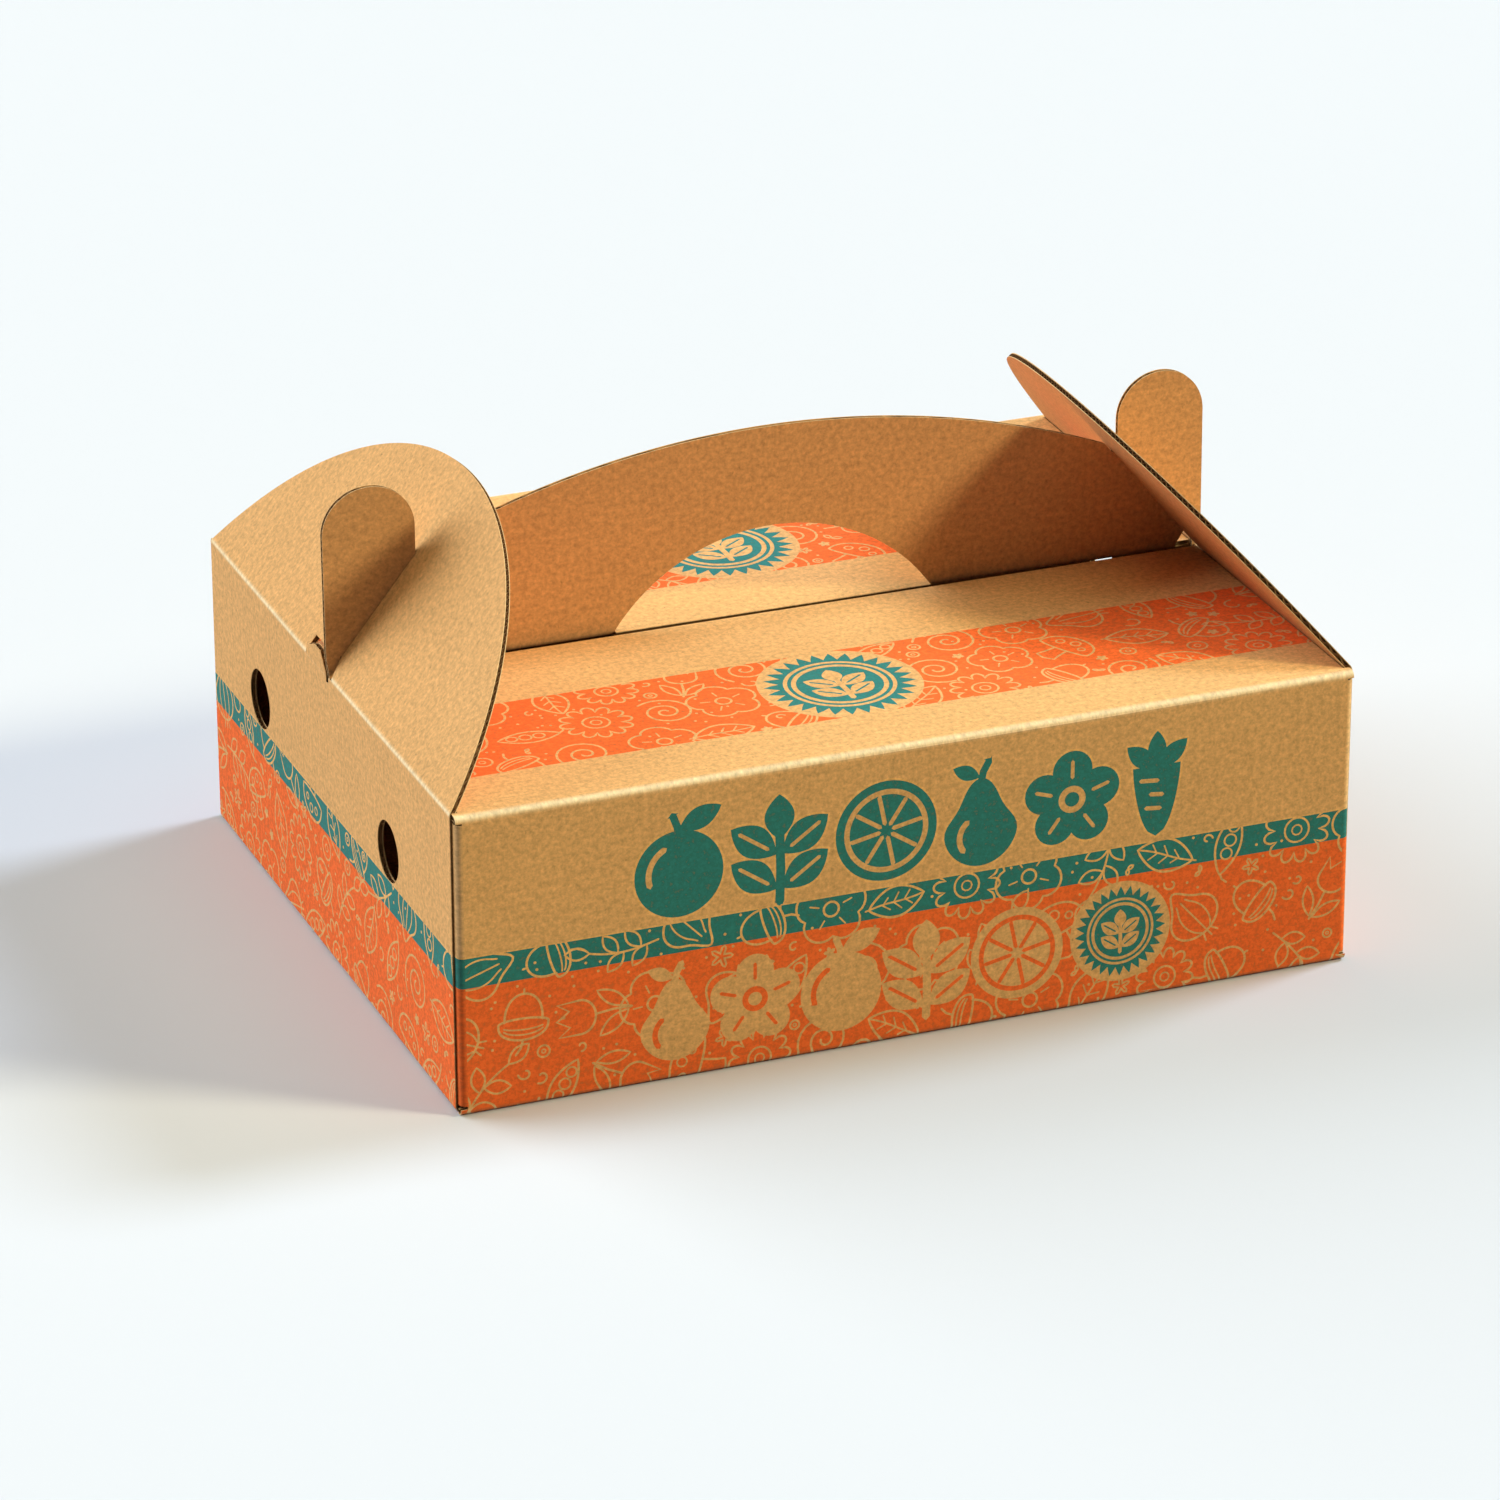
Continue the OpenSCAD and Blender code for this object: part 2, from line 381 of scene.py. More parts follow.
def lens(length, width, count=14):
    # two mirrored arcs of sin(pi t) between the ends of a leaf
    t = np.linspace(0, 1, count)
    top = np.stack([(t - 0.5) * length, width / 2 * np.sin(np.pi * t) ** 0.85], 1)
    return np.concatenate([top, (top * (1, -1))[::-1][1:]])


def drawBlossom():
    t = np.linspace(0, 2 * np.pi, 51)
    petals = (0.74 + 0.2 * np.abs(np.cos(2.5 * t)) ** 0.8)[:, None] * direction(t)
    spokes = [np.outer((0.34, 0.58), direction(a)) for a in np.arange(5) * 2 * np.pi / 5 + 0.02]
    return [(petals, 1), (circle((0, 0), 0.2, 16), 1)] + [(line, 0.7) for line in spokes]


def drawDaisy():
    t = np.linspace(0, 2 * np.pi, 97)
    petals = (0.62 + 0.3 * np.abs(np.cos(6 * t)) ** 0.6)[:, None] * direction(t)
    return [(petals, 1), (circle((0, 0), 0.34, 20), 0.9), (circle((0, 0), 0.14, 10), 0.7)]


def drawLeaf():
    t = np.linspace(0, 1, 9)
    rib = np.stack([1.75 * t - 0.95, 0.03 * np.sin(6 * t)], 1)
    veins = [np.array([(x, 0), (x + 0.2, side * 0.27 * (1 - abs(x) * 0.7))])
             for x in (-0.42, -0.08, 0.26) for side in (-1, 1)]
    return [(lens(1.7, 0.95, 18), 1), (rib, 0.8)] + [(line, 0.65) for line in veins]


def drawSprig():
    t = np.linspace(0, 1, 13)
    stem = np.stack([2 * t - 1, 0.22 * np.sin(2.6 * t)], 1)
    leaves = [(moved(lens(0.7, 0.36, 9), stem[i] + 0.36 * direction(a), a), 0.9)
              for i, a in ((2, 0.95), (3, -0.85), (6, 0.85), (7, -0.9), (12, -0.1))]
    return [(stem, 0.9)] + leaves


def drawPod():
    peas = [(circle((x, 0.02), 0.17 - 0.04 * abs(x), 14), 0.8) for x in (-0.48, -0.1, 0.28)]
    tail = np.array([(0.84, 0.0), (0.98, 0.1), (1.05, 0.26)])
    return [(lens(1.75, 0.7, 18), 1), (tail, 0.9)] + peas


def drawCurl():
    t = np.linspace(0, 1, 40)
    return [((0.1 + 0.8 * t)[:, None] * direction(4.6 * np.pi * t ** 0.8), 1)]


def drawBulb():
    # half width 0.74 sin t; the top is drawn up to a tip by a high power of cos t
    t = np.linspace(0, 2 * np.pi, 57)
    y = 0.58 * np.cos(t) - 0.16 + 0.44 * np.clip(np.cos(t), 0, 1) ** 14
    body = np.stack([0.74 * np.sin(t), y], 1)
    ribs = [(body[4:25] * (k, 1), 0.75) for k in (-0.5, 0.0, 0.5)]
    roots = [(np.array([(x, -0.76), (1.6 * x, -0.96)]), 0.8) for x in (-0.14, 0.0, 0.14)]
    return [(body, 1)] + ribs + roots


def drawAcorn():
    u = np.linspace(0, np.pi, 19)
    nut = np.stack([0.5 * np.cos(u), -0.08 - 0.74 * np.sin(u) ** 0.8], 1)
    rim = np.stack([0.66 * np.cos(u), -0.02 - 0.13 * np.sin(u)], 1)
    cap = np.stack([0.66 * np.cos(u), -0.02 + 0.46 * np.sin(u) ** 0.8], 1)
    bands = [(cap[3:-3] * (0.9, k), 0.7) for k in (0.36, 0.68)]
    stem = np.array([(0.0, 0.44), (0.05, 0.66), (0.18, 0.84)])
    tip = np.array([(0.0, -0.82), (0.0, -0.95)])
    return [(nut, 1), (np.concatenate([cap, rim[::-1]]), 1), (stem, 1), (tip, 0.9)] + bands


def drawMushroom():
    u = np.linspace(0, np.pi, 23)
    cap = np.stack([0.82 * np.cos(u), 0.02 + 0.72 * np.sin(u) ** 0.85], 1)
    under = np.stack([0.82 * np.cos(u), 0.02 - 0.14 * np.sin(u)], 1)
    foot = np.array([(-0.2, -0.12), (-0.24, -0.5), (-0.3, -0.76), (0, -0.86),
                     (0.3, -0.76), (0.24, -0.5), (0.2, -0.12)])
    spots = [(circle((x, y), size, 12), 0.75)
             for x, y, size in ((-0.36, 0.3, 0.12), (0.06, 0.44, 0.14), (0.42, 0.24, 0.1))]
    return [(np.concatenate([cap, under[::-1]]), 1), (foot, 1)] + spots


def drawTulip():
    u = np.linspace(np.pi, 2 * np.pi, 15)
    bowl = np.stack([0.46 * np.cos(u), 0.34 + 0.4 * np.sin(u)], 1)
    cup = np.concatenate([bowl, [(0.44, 0.92), (0.22, 0.62), (0.0, 0.96),
                                 (-0.22, 0.62), (-0.44, 0.92), (-0.46, 0.34)]])
    stem = np.array([(0.0, -0.06), (0.03, -0.5), (0.0, -1.0)])
    leaves = [(moved(lens(0.95, 0.34, 12), (0.34 * side, -0.52), math.pi / 2 - 0.62 * side), 0.9)
              for side in (-1, 1)]
    return [(cup, 1), (stem, 1)] + leaves


def drawRing():
    return [(circle((0, 0), 0.8, 16), 0.85), (circle((0, 0), 0.26, 8), 0.6)]


def drawLeafPair():
    return [(moved(lens(1.1, 0.55, 9), (0.5 * side, 0.1), 0.5 * side), 0.85) for side in (-1, 1)]


def drawComma():
    t = np.linspace(0, 1, 12)
    return [((0.95 - 0.6 * t)[:, None] * direction(4.4 * t), 0.9)]


def drawStar():
    t = np.linspace(0, 2 * np.pi, 31)
    return [((0.6 + 0.35 * np.cos(5 * t))[:, None] * direction(t), 0.85)]


drawings = [drawBlossom, drawSprig, drawMushroom, drawLeaf, drawBulb,
            drawPod, drawDaisy, drawAcorn, drawTulip, drawCurl]
fillers = [drawRing, drawLeafPair, drawComma, drawStar]

pattern = {
    "pitch": 27.0,      # from one drawing to the next
    "radius": 14.3,
    "line": 0.46,       # half the width of a full line
    "jitter": 1.4,
    "cutOff": 8.0,      # the rows run past the printed area, whose edges cut them
    "clear": 1.5,       # a filler keeps this far from every line
    "fillSizes": (6.0, 4.8, 3.8, 3.0, 2.3),
    "fillTries": 200,
    "dot": 0.6,
}


def patternMarks(width, low, high, seed):
    # rows of drawings on a jittered brick layout, then fillers of falling size in the gaps
    rng = np.random.default_rng(seed)
    low, high = low - pattern["cutOff"], high + pattern["cutOff"]
    rowCount = max(1, round((high - low) / pattern["pitch"]))
    rowPitch = (high - low) / rowCount
    count = math.ceil(width / pattern["pitch"]) + 1
    marks, last = [], -1
    for row in range(rowCount):
        for column in range(count):
            last = (last + 1 + rng.integers(0, 4)) % len(drawings)
            at = np.array([(column - count / 2 + 0.25 + 0.5 * (row % 2)) * pattern["pitch"],
                           low + (row + 0.5) * rowPitch]) + rng.normal(0, pattern["jitter"], 2)
            turn = rng.uniform(0, 2 * np.pi)
            size = pattern["radius"] * rng.uniform(0.9, 1.06)
            marks += [lineMark(moved(line, at, turn, size), pattern["line"] * share)
                      for line, share in drawings[last]()]
    taken = np.concatenate([mark["points"] for mark in marks])
    for size in pattern["fillSizes"]:
        for at in rng.uniform((-width / 2, low), (width / 2, high), (pattern["fillTries"], 2)):
            turn, kind = rng.uniform(0, 2 * np.pi), rng.integers(0, len(fillers))
            if np.linalg.norm(taken - at, axis=1).min() > size + pattern["clear"]:
                small = [lineMark(moved(line, at, turn, size), pattern["line"] * share)
                         for line, share in fillers[kind]()]
                taken = np.concatenate([taken] + [mark["points"] for mark in small])
                marks += small
    for at in rng.uniform((-width / 2, low), (width / 2, high), (2 * pattern["fillTries"], 2)):
        if np.linalg.norm(taken - at, axis=1).min() > pattern["dot"] + pattern["clear"]:
            marks.append(areaMark(circle(at, pattern["dot"], 8)[:-1], 0))
            taken = np.concatenate([taken, at[None]])
    return marks


# Bold shapes, each about one unit in radius, as (areas, lines laid over them)

def boldRound():
    leaf = moved(lens(0.86, 0.42), (0.4, 0.84), 0.42)
    stem = (np.array([(0.0, 0.5), (-0.02, 0.72), (-0.1, 0.94)]), 0.07)
    shine = (arc((0, -0.16), 0.56, 118, 196, 12), 0.055)
    return [circle((0, -0.16), 0.82, 44)[:-1], leaf], [stem], [shine]


def boldSprig():
    leaves = [moved(lens(1.04, 0.6), (0.48 * side, y), math.pi / 2 - side * 0.95)
              for side in (-1, 1) for y in (-0.46, 0.2)]
    top = moved(lens(0.86, 0.56), (0, 0.6), math.pi / 2)
    stem = (np.array([(0.0, -1.0), (0.02, -0.4), (0.0, 0.4)]), 0.085)
    ribs = [(np.array([(0.22 * side, y - 0.18), (0.74 * side, y + 0.18)]), 0.035)
            for side in (-1, 1) for y in (-0.46, 0.2)]
    return leaves + [top], [stem], ribs


def boldSlice():
    wedges = [(np.outer((0.14, 0.66), direction(a)), 0.04) for a in np.arange(8) * np.pi / 4 + 0.2]
    return [circle((0, 0), 0.95, 48)[:-1]], [], [(circle((0, 0), 0.74, 44), 0.05)] + wedges


def boldPear():
    # half width 0.74 sin t, drawn in above the middle by a smooth shoulder
    t = np.linspace(0, 2 * np.pi, 49)[:-1]
    shoulder = 1 - 0.46 / (1 + np.exp(-7 * (np.cos(t) - 0.12)))
    body = np.stack([0.74 * np.sin(t) * shoulder, 0.84 * np.cos(t) - 0.14], 1)
    stem = (np.array([(0.0, 0.64), (0.04, 0.82), (0.14, 1.0)]), 0.07)
    leaf = moved(lens(0.56, 0.28), (-0.28, 0.84), 2.7)
    shine = (arc((0, -0.42), 0.4, 130, 215, 10), 0.055)
    return [body, leaf], [stem], [shine]


def boldBlossom():
    petals = [circle(0.55 * direction(a), 0.38, 26)[:-1] for a in np.arange(5) * 2 * np.pi / 5 + 0.31]
    veins = [(np.outer((0.42, 0.72), direction(a)), 0.035) for a in np.arange(5) * 2 * np.pi / 5 + 0.31]
    return petals + [circle((0, 0), 0.4, 20)[:-1]], [], [(circle((0, 0), 0.2, 22), 0.06)] + veins


def boldCarrot():
    # the root's half width is 0.46 sqrt(1 - t^1.5) along its length; the top has three leaves
    t = np.linspace(0, 1, 14)
    half = 0.46 * np.sqrt(np.clip(1 - t ** 1.5, 0, 1))
    right = np.stack([half, 0.38 - 1.36 * t], 1)
    root = np.concatenate([right, (right * (-1, 1))[::-1][1:]])
    leaves = [moved(lens(0.74, 0.36), (0.4 * math.sin(a), 0.36 + 0.32 * math.cos(a)), math.pi / 2 - a)
              for a in (-0.85, 0.0, 0.85)]
    rings = [(np.array([(-0.3 + 0.12 * k, y), (0.02 + 0.06 * k, y - 0.03)]), 0.04)
             for k, y in ((0, 0.12), (1.6, -0.16), (0.9, -0.42))]
    return [root] + leaves, [], rings


def boldMarks(shapes, x0, x1, low, high, ink, under, edge=0.0):
    # shapes side by side at even gaps; with an edge, a light line first runs round each of them
    marks, radius = [], (high - low) / 2
    drawn = [shape() for shape in shapes]
    halves = [radius * max(np.abs(area[:, 0]).max() for area in areas) for areas, _, _ in drawn]
    gap = (x1 - x0 - 2 * sum(halves)) / len(shapes)
    places = x0 - gap / 2 + np.cumsum([gap + 2 * half for half in halves]) - halves
    for x, (areas, bars, details) in zip(places, drawn):
        at = (x, (low + high) / 2)
        areas = [moved(area, at, 0, radius) for area in areas]
        bars = [(moved(bar, at, 0, radius), half * radius) for bar, half in bars]
        if edge:
            marks += [lineMark(closed(area), edge, 3) for area in areas]
            marks += [lineMark(bar, half + edge, 3) for bar, half in bars]
        marks += [areaMark(area, ink) for area in areas]
        marks += [lineMark(bar, half, ink) for bar, half in bars]
        marks += [lineMark(moved(line, at, 0, radius), half * radius, under) for line, half in details]
    return marks


def rosetteMarks(at, radius, halo):
    # a kraft disc, a toothed teal ring, two thin rings and a sprig in the middle
    t = np.linspace(0, 2 * np.pi, 28 * 4 + 1)[:-1]
    teeth = radius * (0.9 + 0.1 * np.clip(1.6 * np.cos(28 * t), -1, 1))
    marks = [areaMark(circle(at, halo, 56)[:-1], 0),
             areaMark(at + teeth[:, None] * direction(t), 2),
             areaMark(circle(at, 0.74 * radius, 48)[:-1], 0),
             lineMark(circle(at, 0.66 * radius, 48), 0.025 * radius, 2),
             areaMark(circle(at, 0.57 * radius, 44)[:-1], 2)]
    return marks + boldMarks([boldSprig], at[0] - 1, at[0] + 1, at[1] - 0.47 * radius,
                             at[1] + 0.47 * radius, 0, 2)


printing = {
    "bottom": -0.6,             # the print ends just round the bottom fold
    "orangeTop": 51.5,
    "tealTop": 63.5,
    "tealEdge": 0.5,
    "tealShapes": (-112.0, 112.0, 65.5, 108.0),     # left, right, low, high
    "kraftShapes": (-109.0, 61.0, 7.5, 47.0),
    "wallRosette": (84.4, 28.8, 18.6, 20.6),        # centre, radius, radius of the bare disc
    "topBand": (-113.0, -53.0),                     # low, high
    "topRosette": (-4.5, -83.3, 29.0, 31.5),
    "rearBand": (29.0, 89.0),
    "rearRosette": (2.5, 59.0, 29.0, 31.5),
    "shapeEdge": 0.9,           # light line round the teal shapes
    "foldClear": 5.0,           # the top panels' bands end this far from the fold
}


def wallGround(p):
    # orange below, then the teal stripe with its light upper edge, then bare kraft
    height = p[:, 1]
    ink = np.zeros(len(p), int)
    ink[height < printing["tealTop"] + printing["tealEdge"]] = 3
    ink[height < printing["tealTop"]] = 2
    ink[height < printing["orangeTop"]] = 1
    ink[height < printing["bottom"]] = 0
    return ink


def wallLevels():
    top = printing["tealTop"]
    return [printing["bottom"], printing["orangeTop"], top, top + printing["tealEdge"]]


def longWallMarks(seed, width):
    shapes = [boldPear, boldBlossom, boldRound, boldSprig, boldSlice]
    x, y, radius, halo = printing["wallRosette"]
    return (patternMarks(width, 0.0, printing["tealTop"], seed)
            + boldMarks(shapes, *printing["kraftShapes"], 0, 1)
            + rosetteMarks(np.array([x, y]), radius, halo))


def tealShapeMarks():
    shapes = [boldRound, boldSprig, boldSlice, boldPear, boldBlossom, boldCarrot]
    return boldMarks(shapes, *printing["tealShapes"], 2, 0, printing["shapeEdge"])


# Materials

def newGroup(name, inputs, outputs):
    group = bpy.data.node_groups.new(name, "ShaderNodeTree")
    for label, kind in inputs:
        group.interface.new_socket(name=label, in_out="INPUT", socket_type=kind)
    for label, kind in outputs:
        group.interface.new_socket(name=label, in_out="OUTPUT", socket_type=kind)
    return group, group.nodes.new("NodeGroupInput"), group.nodes.new("NodeGroupOutput")


def addNode(tree, kind, settings=None, **inputs):
    # inputs are plain values or sockets; i and a number stands for the socket of that number
    node = tree.nodes.new(kind)
    for key, value in (settings or {}).items():
        setattr(node, key, value)
    for key, value in inputs.items():
        byNumber = key[0] == "i" and key[1:].isdigit()
        target = node.inputs[int(key[1:]) if byNumber else key]
        if isinstance(value, bpy.types.NodeSocket):
            tree.links.new(value, target)
        else:
            target.default_value = value
    return node


def mathNode(tree, operation, a, b=0.0, c=0.0):
    return addNode(tree, "ShaderNodeMath", {"operation": operation}, i0=a, i1=b, i2=c).outputs[0]


def mixColour(tree, factor, a, b, blend="MIX"):
    settings = {"data_type": "RGBA", "blend_type": blend}
    return addNode(tree, "ShaderNodeMix", settings, i0=factor, i6=a, i7=b).outputs[2]


def stretch(tree, vector, scale):
    return addNode(tree, "ShaderNodeVectorMath", {"operation": "MULTIPLY"},
                   i0=vector, i1=scale).outputs[0]


def noise(tree, vector, scale, detail=2.0, roughness=0.5):
    return addNode(tree, "ShaderNodeTexNoise", Vector=vector, Scale=scale, Detail=detail,
                   Roughness=roughness).outputs["Fac"]


def remap(tree, value, fromLow, fromHigh, toLow, toHigh):
    return addNode(tree, "ShaderNodeMapRange", Value=value, **{
        "From Min": fromLow, "From Max": fromHigh, "To Min": toLow, "To Max": toHigh}).outputs[0]


def makeKraftGroup():
    # paper fibre: clouds, speckle, long fibres across the flutes and a few dark flecks;
    # Tone is a brightness near 1, Fleck a mask, Height goes to Bump
    group, given, out = newGroup("kraftFibre", [("Vector", "NodeSocketVector")],
                                 [("Tone", "NodeSocketFloat"), ("Fleck", "NodeSocketFloat"),
                                  ("Height", "NodeSocketFloat")])
    vector = given.outputs["Vector"]
    clouds = noise(group, vector, 38.0, 3.0, 0.6)
    mottle = noise(group, vector, 420.0, 2.0, 0.6)
    speckle = noise(group, vector, 900.0, 3.0, 0.65)
    fibres = noise(group, stretch(group, vector, (1500.0, 260.0, 1.0)), 1.0, 2.0, 0.6)
    fleckNoise = noise(group, stretch(group, vector, (760.0, 330.0, 1.0)), 1.0, 1.0)
    tone = mathNode(group, "ADD", remap(group, clouds, 0.3, 0.7, -0.035, 0.035),
                    remap(group, mottle, 0.3, 0.7, -0.17, 0.17))
    tone = mathNode(group, "ADD", tone, remap(group, speckle, 0.3, 0.7, -0.14, 0.14))
    tone = mathNode(group, "ADD", tone, remap(group, fibres, 0.3, 0.7, -0.015, 0.015))
    group.links.new(mathNode(group, "ADD", tone, 1.0), out.inputs["Tone"])
    group.links.new(remap(group, fleckNoise, 0.72, 0.8, 0.0, 1.0), out.inputs["Fleck"])
    height = mathNode(group, "ADD", speckle, mathNode(group, "MULTIPLY", fibres, 0.4))
    group.links.new(height, out.inputs["Height"])
    return group


def makeFluteGroup():
    # the flutes show faintly through a liner as ripples: a soft sine across the board map, used as a bump
    # and as a faint painted shade in the colour
    group, given, out = newGroup("fluteShow", [("Vector", "NodeSocketVector")],
                                 [("Wave", "NodeSocketFloat")])
    across = addNode(group, "ShaderNodeSeparateXYZ", Vector=given.outputs["Vector"]).outputs["Y"]
    turns = mathNode(group, "MULTIPLY", across, 2 * math.pi * 1000 / board["pitch"])
    group.links.new(mathNode(group, "SINE", turns), out.inputs["Wave"])
    return group


kraftGroup = makeKraftGroup()
fluteGroup = makeFluteGroup()

paper = {
    "kraft": (0.775, 0.458, 0.198),
    # pale paper along the folds: a painted highlight where the ridge catches the light, with some rubbed
    # paper
    "kraftFold": (0.98, 0.84, 0.60),
    "inner": (0.65, 0.355, 0.160),
    # the fluting, much darker than its own brown, as painted shade inside the open flutes
    "medium": (0.20, 0.11, 0.045),
    "fleck": (0.36, 0.20, 0.08),
    "orange": (0.92, 0.165, 0.034),
    "teal": (0.024, 0.215, 0.225),
    "light": (0.90, 0.52, 0.20),
    # paler cut paper along the liners' cut edges, with a painted highlight on them
    "cutEdge": (0.80, 0.60, 0.34),
}
finish = {
    "roughness": 0.86,
    "specular": 0.3,
    "flecks": 0.55,     # strength of the dark flecks
    "folds": 0.95,      # strength of the pale folds: a painted fold highlight with some rubbed paper
    "cutEdges": 0.8,    # strength of the pale cut edges: paler cut paper and a painted highlight
    # the flutes' ripple, as bump height and as painted shade in the colour
    "fluteTone": 0.012,
    "fibreBump": 0.035,
    "bump": 0.5,
}


def rgba(name):
    return (*paper[name], 1.0)


def paperMaterial(name, base, printed=False, showFlutes=False):
    material = bpy.data.materials.new(name)
    material.use_nodes = True
    tree = material.node_tree
    shader = tree.nodes["Principled BSDF"]
    vector = addNode(tree, "ShaderNodeUVMap", {"uv_map": "boardMap"}).outputs["UV"]
    fibre = addNode(tree, "ShaderNodeGroup", {"node_tree": kraftGroup}, Vector=vector).outputs
    wave = addNode(tree, "ShaderNodeGroup", {"node_tree": fluteGroup}, Vector=vector).outputs["Wave"]
    fleck = mathNode(tree, "MULTIPLY", fibre["Fleck"], finish["flecks"])
    colour = mixColour(tree, fleck, rgba(base), rgba("fleck"))
    if printed:
        # along each fold a painted highlight of the ridge, with the paper rubbed paler there
        fold = addNode(tree, "ShaderNodeAttribute", {"attribute_name": "foldLine"}).outputs["Fac"]
        colour = mixColour(tree, mathNode(tree, "MULTIPLY", fold, finish["folds"]), colour,
                           rgba("kraftFold"))
        ink = addNode(tree, "ShaderNodeSeparateColor", Color=addNode(
            tree, "ShaderNodeAttribute", {"attribute_name": "ink"}).outputs["Color"]).outputs
        # ink thins out over coarse fibre and is rubbed along the folds, so the painted fold highlight
        # shows through the print
        thin = mathNode(tree, "MULTIPLY", remap(tree, fibre["Tone"], 0.8, 0.9, 0.86, 1.0),
                        remap(tree, fold, 0.2, 1.2, 1.0, 0.72))
        for key, channel in (("orange", "Red"), ("teal", "Green"), ("light", "Blue")):
            cover = mathNode(tree, "MULTIPLY", ink[channel], thin)
            colour = mixColour(tree, cover, colour, rgba(key))
    # the liners' cut edges turn pale, cut paper and painted highlight; the fluting's stay dark as painted
    # shade
    if base != "medium":
        cut = addNode(tree, "ShaderNodeAttribute", {"attribute_name": "cutEdge"}).outputs["Fac"]
        colour = mixColour(tree, mathNode(tree, "MULTIPLY", cut, finish["cutEdges"]), colour,
                           rgba("cutEdge"))
    # the flute sine lightens and darkens the colour a little as painted shade of the ripples, and also
    # goes to the bump
    flutes = finish["fluteTone"] if showFlutes else 0.0
    shade = mathNode(tree, "ADD", fibre["Tone"], mathNode(tree, "MULTIPLY", wave, flutes))
    grey = addNode(tree, "ShaderNodeCombineColor", Red=shade, Green=shade, Blue=shade).outputs[0]
    tree.links.new(mixColour(tree, 1.0, colour, grey, "MULTIPLY"), shader.inputs["Base Color"])
    height = mathNode(tree, "ADD", mathNode(tree, "MULTIPLY", fibre["Height"], finish["fibreBump"]),
                      mathNode(tree, "MULTIPLY", wave, flutes))
    bump = addNode(tree, "ShaderNodeBump", Strength=finish["bump"], Distance=0.001, Height=height)
    tree.links.new(bump.outputs["Normal"], shader.inputs["Normal"])
    shader.inputs["Roughness"].default_value = finish["roughness"]
    shader.inputs["Specular IOR Level"].default_value = finish["specular"]
    return material


outerPaper = paperMaterial("printedKraft", "kraft", printed=True, showFlutes=True)
innerPaper = paperMaterial("brownKraft", "inner", showFlutes=True)
# the fluting's dark colour is painted shade for the hollow flutes
shadedMediumPaper = paperMaterial("flutingPaper", "medium")
print("materials ready")


# Every sheet gives its lines, the rule that says what is board, and its place in space

def rows(values, w0, w1):
    return [np.array([(s, w0), (s, w1)]) for s in values]


def columns(values, s0, s1):
    return [np.array([(s0, w), (s1, w)]) for w in values]


waveHeight = (thick - 2 * board["liner"] - board["medium"]) / 2 - board["play"]


def wavePhase(v):
    return waveHeight * np.sin(2 * np.pi * v / board["pitch"])


def waveRows(v0, v1):
    step = board["pitch"] / board["waveSteps"]
    return np.arange(math.ceil(v0 / step), math.floor(v1 / step) + 1) * step


def level(value):
    return lambda s, w: np.full(len(s), value)


def layerShell(layer, lines, keep, place, mapOf, waveAxis, waves, fold=None, ink=None, spots=None):
    # one layer of the board; the medium runs as a sine along the strip's length (axis 0) or
    # across it (axis 1), and waves are the lines along which it is stepped
    if layer == "medium":
        half = board["medium"] / 2
        wave = lambda s, w: wavePhase((s, w)[waveAxis])
        return shell(cutSheet(lines + waves, keep), place, lambda s, w: wave(s, w) + half,
                     lambda s, w: wave(s, w) - half, mapOf)
    side = -1 if layer == "outer" else 1
    return shell(cutSheet(lines, keep, spots), place, level(side * thick / 2),
                 level(side * (thick / 2 - board["liner"])), mapOf, fold, ink)


# The long strip: front top panel, front wall, base, back wall and rear top panel

innerEdge = handleFront - handle["topGap"]
lipEdge = handleFront - handle["gripLip"]
midDepth, midTop = halfDepth - thick / 2, topHeight - thick / 2
longPath = foldedPath((innerEdge, midTop), 180,
                      [midDepth + innerEdge, midTop - thick / 2, 2 * midDepth, midTop - thick / 2,
                       midDepth - lipEdge], [90, 90, 90, 90])
longStart = longPath[:, 0]
rearEdge = longStart[8] + (halfDepth - foldOuter) - (handle["y"] + midRadius)
longEnd = longStart[8] + (halfDepth - foldOuter) - lipEdge
gripX = handle["gripWidth"] / 2
wallX = cornerX - foldOuter
baseX = halfLength - foldOuter
stub = 2.0  # the corner folds' width runs on this far into the top panels

longWidths = [  # each stretch: first length, last length, half width
    (0, longStart[1] - stub, panelX),
    (longStart[1] - stub, longStart[2], cornerX),
    (longStart[2], longStart[3], wallX),
    (longStart[3], longStart[4] + 1, cornerX),
    (longStart[4] + 1, longStart[5] - 1, baseX),
    (longStart[5] - 1, longStart[6], cornerX),
    (longStart[6], longStart[7], wallX),
    (longStart[7], longStart[8] + stub, cornerX),
    (longStart[8] + stub, rearEdge, panelX),
    (rearEdge, longEnd, gripX),
]


def longKeep(s, x):
    return np.any([(s > s0) & (s < s1) & (np.abs(x) < half) for s0, s1, half in longWidths], axis=0)


def longLines():
    steps = [s0 for s0, _, _ in longWidths[1:]]
    lines = rows([0, longEnd] + steps + foldRows(longPath), -cornerX, cornerX)
    for s0, s1, half in longWidths:
        lines += columns([-half, half], s0, s1)
    return lines


longPlace = stripPlace(longPath, "x")
longFold = lambda s: foldShare(longPath, s)
longMap = lambda s, x: np.stack([x, s], 1)


def printMaps(origin, along, across):
    # print coordinates run across the strip and up from the origin; along and across are
    # 1 or -1, for print that runs with the strip or against it
    return {"toPrint": lambda p: np.stack([across * p[:, 1], along * (p[:, 0] - origin)], 1),
            "fromPrint": lambda q: np.stack([origin + along * q[:, 1], across * q[:, 0]], 1)}


def bandGround(band):
    low, high = printing[band]
    return lambda p: ((p[:, 1] > low) & (p[:, 1] < high)).astype(int)


